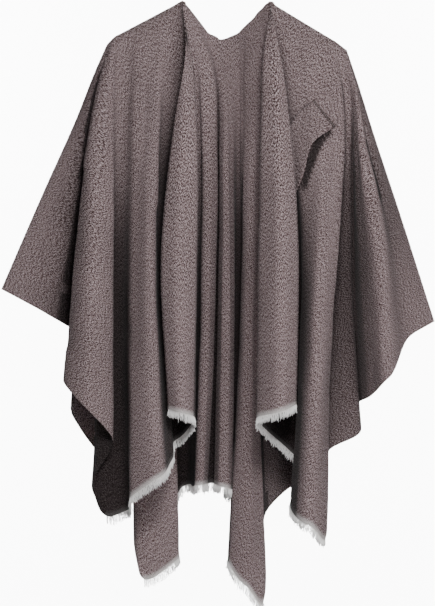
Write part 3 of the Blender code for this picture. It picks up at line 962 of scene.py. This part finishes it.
@dataclass(frozen=True)
class Fringe:
    """Brushed yarn ends below a hem, all drawn out of one narrow tube inside the hem."""

    name: str
    seed: int
    pitch: float = 0.72  # mm from one yarn to the next
    width: float = 0.64  # mm, width of a yarn at its root
    length: float = 12.4  # mm
    uneven: float = 1.7  # mm, how much the lengths differ
    lean: float = 0.17  # how far a yarn leans, as a share of its length
    weight: float = 1.3  # how much a yarn turns to hang straight down
    inset: float = 1.2  # mm that the roots lie above the cloth's edge
    steps: int = 3  # segments down a yarn
    taper: float = 0.9  # width of a segment's lower end, as a share of its upper one
    tube: float = 0.42  # half depth of the tube, as a share of the cloth's thickness
    tube_height: float = 0.5  # height of the tube, as a share of the inset
    weld: float = 1e-4  # mm, points closer together than this are merged

    def build(self, hem: Array, away: Array, out: Array, finish: Material) -> Object:
        """Make the fringe along a hem.

        Args:
            hem: points along the cloth's edge.
            away: direction out of the cloth at each.
            out: normal of the cloth at each.
            finish: the yarn's material.

        Returns:
            The fringe as one piece.
        """
        rng = np.random.default_rng(self.seed)
        shares = arc_shares(hem)
        total = arc_length(hem)
        count = int(total / self.pitch)
        centres = (np.arange(count) + 0.5) / count
        half = self.width / 2 / total
        edges = np.sort(np.concatenate([centres - half, centres + half]))

        def at(table: Array, places: Array) -> Array:
            """Values of a table along the hem, at places given as shares of its length."""
            return read_line(table, shares, places)

        down, side = unit(at(away, edges)), unit(at(out, edges)) * CLOTH * self.tube
        upper = at(hem, edges) - down * self.inset
        lower = upper + down * self.inset * self.tube_height
        ring = np.stack([upper + side, upper - side, lower - side, lower + side, upper + side])
        work = bmesh.new()
        bmesh.ops.create_grid(work, x_segments=len(edges) - 1, y_segments=4, size=1)
        for vert, point in zip(work.verts, ring.reshape(-1, 3)):
            vert.co = point
        number = work.faces.layers.int.new("number")
        # How far down its yarn each point lies, which the yarn's material turns into painted shade at
        # the roots.
        shade = work.verts.layers.float.new("down")
        span = len(edges) - 1
        tips = list(work.faces)[2 * span:3 * span:2]
        for s, face in enumerate(tips):
            face[number] = s
        fall = unit(at(away, centres) + (0, 0, -self.weight) * np.ones((count, 1)))
        across = unit(at(np.gradient(hem, axis=0), centres))
        lean = rng.normal(0, self.lean, (count, self.steps, 2))
        uneven = rng.normal(0, self.uneven, count)
        lengths = (self.length + self.inset * self.tube_height + uneven) / self.steps
        normal = unit(at(out, centres))
        for step in range(self.steps):
            made = bmesh.ops.extrude_discrete_faces(work, faces=tips)["faces"]
            for face in made:
                s = face[number]
                bend = across[s] * lean[s, step, 0] + normal[s] * lean[s, step, 1]
                start = at(away, centres[s:s + 1])[0] if step == 0 else fall[s]
                reach = Vector(unit(start + bend) * lengths[s])
                root = face.calc_center_median()
                for vert in face.verts:
                    vert.co = root + reach + (vert.co - root) * self.taper
                    vert[shade] = (step + 1) / self.steps
            tips = made
        bmesh.ops.remove_doubles(work, verts=work.verts, dist=self.weld)
        bmesh.ops.holes_fill(work, edges=[edge for edge in work.edges if edge.is_boundary])
        bmesh.ops.recalc_face_normals(work, faces=work.faces)
        return finish_object(self.name, work, [finish])


@dataclass(frozen=True)
class PullThroughLoop:
    """Flat band on the right front, with its end turned under and stitched down."""

    name: str
    sections: tuple[LoopSection, ...]
    clear: float = 1.6  # mm between the band's middle and the panel's, at no lift
    rows: int = 84
    columns: int = 16
    crowding: float = 1.6  # how much closer the rows lie at the stitched end
    stitch_line: float = 8.5  # mm from the stitched end to the stitching
    turned: float = 3.0  # mm that the turned-under end stands up
    turned_end: float = 1.2  # where that stops, as a share of the stitching's distance
    turned_fade: float = 0.8  # mm over which it stops
    groove: float = 1.3  # mm that the stitching pulls the band in
    groove_width: float = 1.6  # mm, half width of that groove
    seam_shade: float = 0.6  # share of the colour that painted shade in the groove takes away
    seam_width: float = 2.2  # mm, half width of that shade
    under: float = 0.3  # how open the band's reverse lies, which paints shade on it
    stitch_pitch: float = 3.6  # mm from one stitch to the next
    stitch_length: float = 2.9  # mm
    stitch_radius: float = 0.42  # mm

    def build(self, panel: Panel, finishes: Finishes, thread: Material) -> tuple[Object, Object]:
        """Make the band and its stitching.

        Args:
            panel: the right front, which carries it.
            finishes: the materials of the right side and of the reverse.
            thread: the sewing thread.

        Returns:
            The band, then the row of stitches.
        """
        table = np.array([(*s.upper, s.upper_lift, *s.lower, s.lower_lift) for s in self.sections])
        places = (len(table) - 1) * np.linspace(0, 1, self.rows) ** self.crowding
        lines = smooth(np.arange(len(table)), table, places)
        first, last = panel.column_of("lapel_roll"), panel.column_of("valley_side")
        carrier = panel.middle[:, first:last]
        share = np.linspace(0, 1, self.columns)
        band = np.zeros((self.rows, self.columns, 3))
        for r, (ux, uz, ul, lx, lz, ll) in enumerate(lines):
            for c, s in enumerate(share):
                x, z = ux + (lx - ux) * s, uz + (lz - uz) * s
                level = np.array([[np.interp(-z, -line[:, 2], line[:, k]) for k in (0, 1)]
                                  for line in carrier.transpose(1, 0, 2)])
                lift = self.clear + ul + (ll - ul) * s
                band[r, c] = x, np.interp(x, level[:, 0], level[:, 1]) - lift, z
        outward = facing_normals(band)
        outward *= -np.sign(outward[..., 1:2])
        run = arc_run(band.mean(axis=1))
        profile = (self.turned / (1 + np.exp(
            (run - self.stitch_line * self.turned_end) / self.turned_fade))
            - self.groove * np.exp(-((run - self.stitch_line) / self.groove_width) ** 2))
        band += outward * profile[:, None, None]
        flat = np.stack(np.meshgrid(share * arc_length(band.mean(axis=0)), run), axis=-1)
        # Painted shade: darker in the stitching groove, and dark on the reverse that faces the panel.
        even = np.ones(band.shape[:2])
        dark = self.seam_shade * np.exp(-((run - self.stitch_line) / self.seam_width) ** 2)
        light = (1 - dark[:, None] * even, self.under * even)
        made = shell(self.name, band, outward, flat, 0 * even, light, finishes)
        row = int(np.argmin(np.abs(run - self.stitch_line)))
        stitches = self.stitch(band[row], outward[row], thread)
        return made, stitches

    def stitch(self, line: Array, outward: Array, thread: Material) -> Object:
        """Lay a row of stitches in the groove across the band.

        Args:
            line: points across the band.
            outward: its normals there.
            thread: the sewing thread.

        Returns:
            The stitches as one piece.
        """
        shares = arc_shares(line)
        count = int(arc_length(line) / self.stitch_pitch)
        middles = (np.arange(count) + 0.5) / count
        size = (self.stitch_length / 2, self.stitch_radius, self.stitch_radius, 1)
        work = bmesh.new()
        for centre, way in zip(read_line(line + outward * CLOTH * 0.5, shares, middles),
                               read_line(along(line), shares, middles)):
            turn = Vector(way).to_track_quat("X", "Z").to_matrix().to_4x4()
            bmesh.ops.create_icosphere(
                work, subdivisions=2, radius=1,
                matrix=Matrix.Translation(centre) @ turn @ Matrix.Diagonal(size))
        return finish_object("loop_stitches", work, [thread])


@dataclass(frozen=True)
class Lamp:
    """Soft square light."""

    name: str
    place: Point3  # m
    size: float  # m, length of its side
    power: float  # watts
    aim: Point3 = CENTRE  # m, the point that it looks at

    def build(self) -> None:
        """Add the light."""
        lamp = bpy.data.lights.new(self.name, "AREA")
        lamp.size, lamp.energy = self.size, self.power
        made = bpy.data.objects.new(self.name, lamp)
        made.location = self.place
        towards = Vector(self.aim) - Vector(self.place)
        made.rotation_euler = towards.to_track_quat("-Z", "Y").to_euler()
        bpy.context.scene.collection.objects.link(made)


@dataclass(frozen=True)
class Studio:
    """Pale floor and backdrop, soft lights, and the camera at the photograph's angle."""

    picture_height: float = 0.9975  # m that the picture is high
    distance: float = 3.0  # m from the camera to the shoulder plane
    ambient: float = 0.03  # strength of the even light from all round
    reach: float = 3.2  # m, half length of the floor before its near edge is drawn in
    narrow: float = 0.4  # half width of the floor, as a share of its reach
    drawn_in: float = 2.5  # m that the near edge is drawn in
    bend: float = 1.0  # m, radius of the curve from floor to wall
    wall: float = 3.0  # m, height of the wall above the curve
    drop: float = 1.35  # m from the shoulder line down to the floor
    lamps: tuple[Lamp, ...] = (
        Lamp("softbox", (0.5, -2.6, 0.2), 2.4, 22.0),
        Lamp("front", (0.15, -2.3, 0.3), 0.5, 41.0),
        Lamp("key", (2.3, -2.1, 0.2), 0.8, 30.0),
        Lamp("wall_left", (-1.5, 3.1, 0.2), 1.0, 330.0, (0.1, 4.3, -0.5)),
        Lamp("wall_right", (1.5, 3.1, 0.2), 1.0, 330.0, (-0.1, 4.3, -0.5)),
    )

    def build(self) -> None:
        """Make the stage, the lights and the camera."""
        self.sweep()
        for lamp in self.lamps:
            lamp.build()
        world = bpy.data.worlds.new("studio")
        bpy.context.scene.world = world
        world.use_nodes = True
        feed(world.node_tree, world.node_tree.nodes["Background"], {
            "Color": linear("#ffffff"), "Strength": self.ambient})
        lens = bpy.data.cameras.new("camera")
        lens.type = "ORTHO"
        lens.sensor_fit = "VERTICAL"
        lens.ortho_scale = self.picture_height
        camera = bpy.data.objects.new("camera", lens)
        camera.location = (CENTRE[0], -self.distance, CENTRE[2])
        camera.rotation_euler = (math.pi / 2, 0, 0)
        bpy.context.scene.collection.objects.link(camera)
        bpy.context.scene.camera = camera

    def sweep(self) -> None:
        """Make the floor and the wall as one curved sweep behind the garment."""
        work = bmesh.new()
        bmesh.ops.create_grid(work, x_segments=1, y_segments=1, size=self.reach)
        bmesh.ops.scale(work, vec=(self.narrow, 1, 1), verts=work.verts)
        far = [edge for edge in work.edges if all(vert.co.y > 0 for vert in edge.verts)]
        near = [vert for vert in work.verts if vert.co.y < 0]
        bmesh.ops.translate(work, vec=(0, self.drawn_in, 0), verts=near)
        bmesh.ops.spin(work, geom=far, cent=(0, self.reach, self.bend), axis=(1, 0, 0),
                       angle=math.pi / 2, steps=12, use_merge=False)
        top = [edge for edge in work.edges
               if all(vert.co.z > self.bend * 0.999 for vert in edge.verts)]
        wall = bmesh.ops.extrude_edge_only(work, edges=top)["geom"]
        bmesh.ops.translate(work, vec=(0, 0, self.wall),
                            verts=[v for v in wall if isinstance(v, BMVert)])
        bmesh.ops.translate(work, vec=(0, 0, -self.drop), verts=work.verts)
        bmesh.ops.recalc_face_normals(work, faces=work.faces)
        paper, tree, shader = new_material("matte_studio_paper")
        feed(tree, shader, {
            "Base Color": linear("#fbfbfb"), "Roughness": 1.0, "Specular IOR Level": 0.0})
        finish_object("studio_sweep", work, [paper], scale=1.0)


@dataclass(frozen=True)
class Poncho:
    """The whole garment: three panels of one cloth, their fringes and the loop."""

    front_cut: Point2 = (610.0, 665.0)  # mm, flat width and length of each front
    back_cut: Point2 = (1220.0, 825.0)  # mm, flat width and length of the back

    def build(self) -> None:
        """Build every piece, hang each on the root, and hide the solids that the cloth, the fringes
        and the loop stand for.
        """
        cloth = MelangeTwill("brushed_melange_twill", "#241313", "#574443", "#b9a9ab").build()
        reverse = MelangeTwill("brushed_melange_twill_reverse", "#271616", "#5c4847", "#bdadaf",
                               slub_angle=-28.0).build()
        yarn = CombedYarn("combed_wool_yarn", "#d8d0cd", "#fdfbfa").build()
        thread = SewingThread("spun_polyester_thread", "#5a4c49", "#a2938f").build()
        left = Panel("front_left_cloth", Facing.FRONT, FRONT_LEFT, CREASES_LEFT,
                     ("front_corner",), self.front_cut, 1.0)
        right = Panel("front_right_cloth", Facing.FRONT, FRONT_RIGHT, CREASES_RIGHT,
                      ("outer_flank",), self.front_cut, 2.0, LOOP_SHADES)
        back = Panel("back_cloth", Facing.BACK, BACK, CREASES_BACK,
                     ("left_corner", "right_corner"), self.back_cut, 3.0)
        for panel, node, seed in ((left, "front_left", 11), (right, "front_right", 12),
                                  (back, "back", 13)):
            made = panel.build((cloth, reverse))
            fringe = Fringe(f"{node}_fringe_yarn", seed).build(*panel.hem_line(), yarn)
            self.hand_over(made, node, "woven_cloth")
            self.hand_over(fringe, f"fringe_{node}", "fringe_yarn")
        band, stitches = PullThroughLoop("pull_through_loop_cloth", LOOP).build(
            right, (cloth, reverse), thread)
        self.hand_over(band, "pull_through_loop", "woven_cloth")
        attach(stitches, "root")

    @staticmethod
    def hand_over(piece: Object, node: str, slot: str) -> None:
        """Hang a piece on the root, and hide the solid that it stands for.

        Args:
            piece: the piece.
            node: the solid's name in the part.
            slot: the finish's name in the record; not used.
        """
        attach(piece, "root")
        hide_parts(node)


def main() -> None:
    """Build the garment and the studio."""
    logging.basicConfig(level=logging.INFO, format="%(name)s: %(message)s")
    Poncho().build()
    Studio().build()


if __name__ == "__main__":
    main()
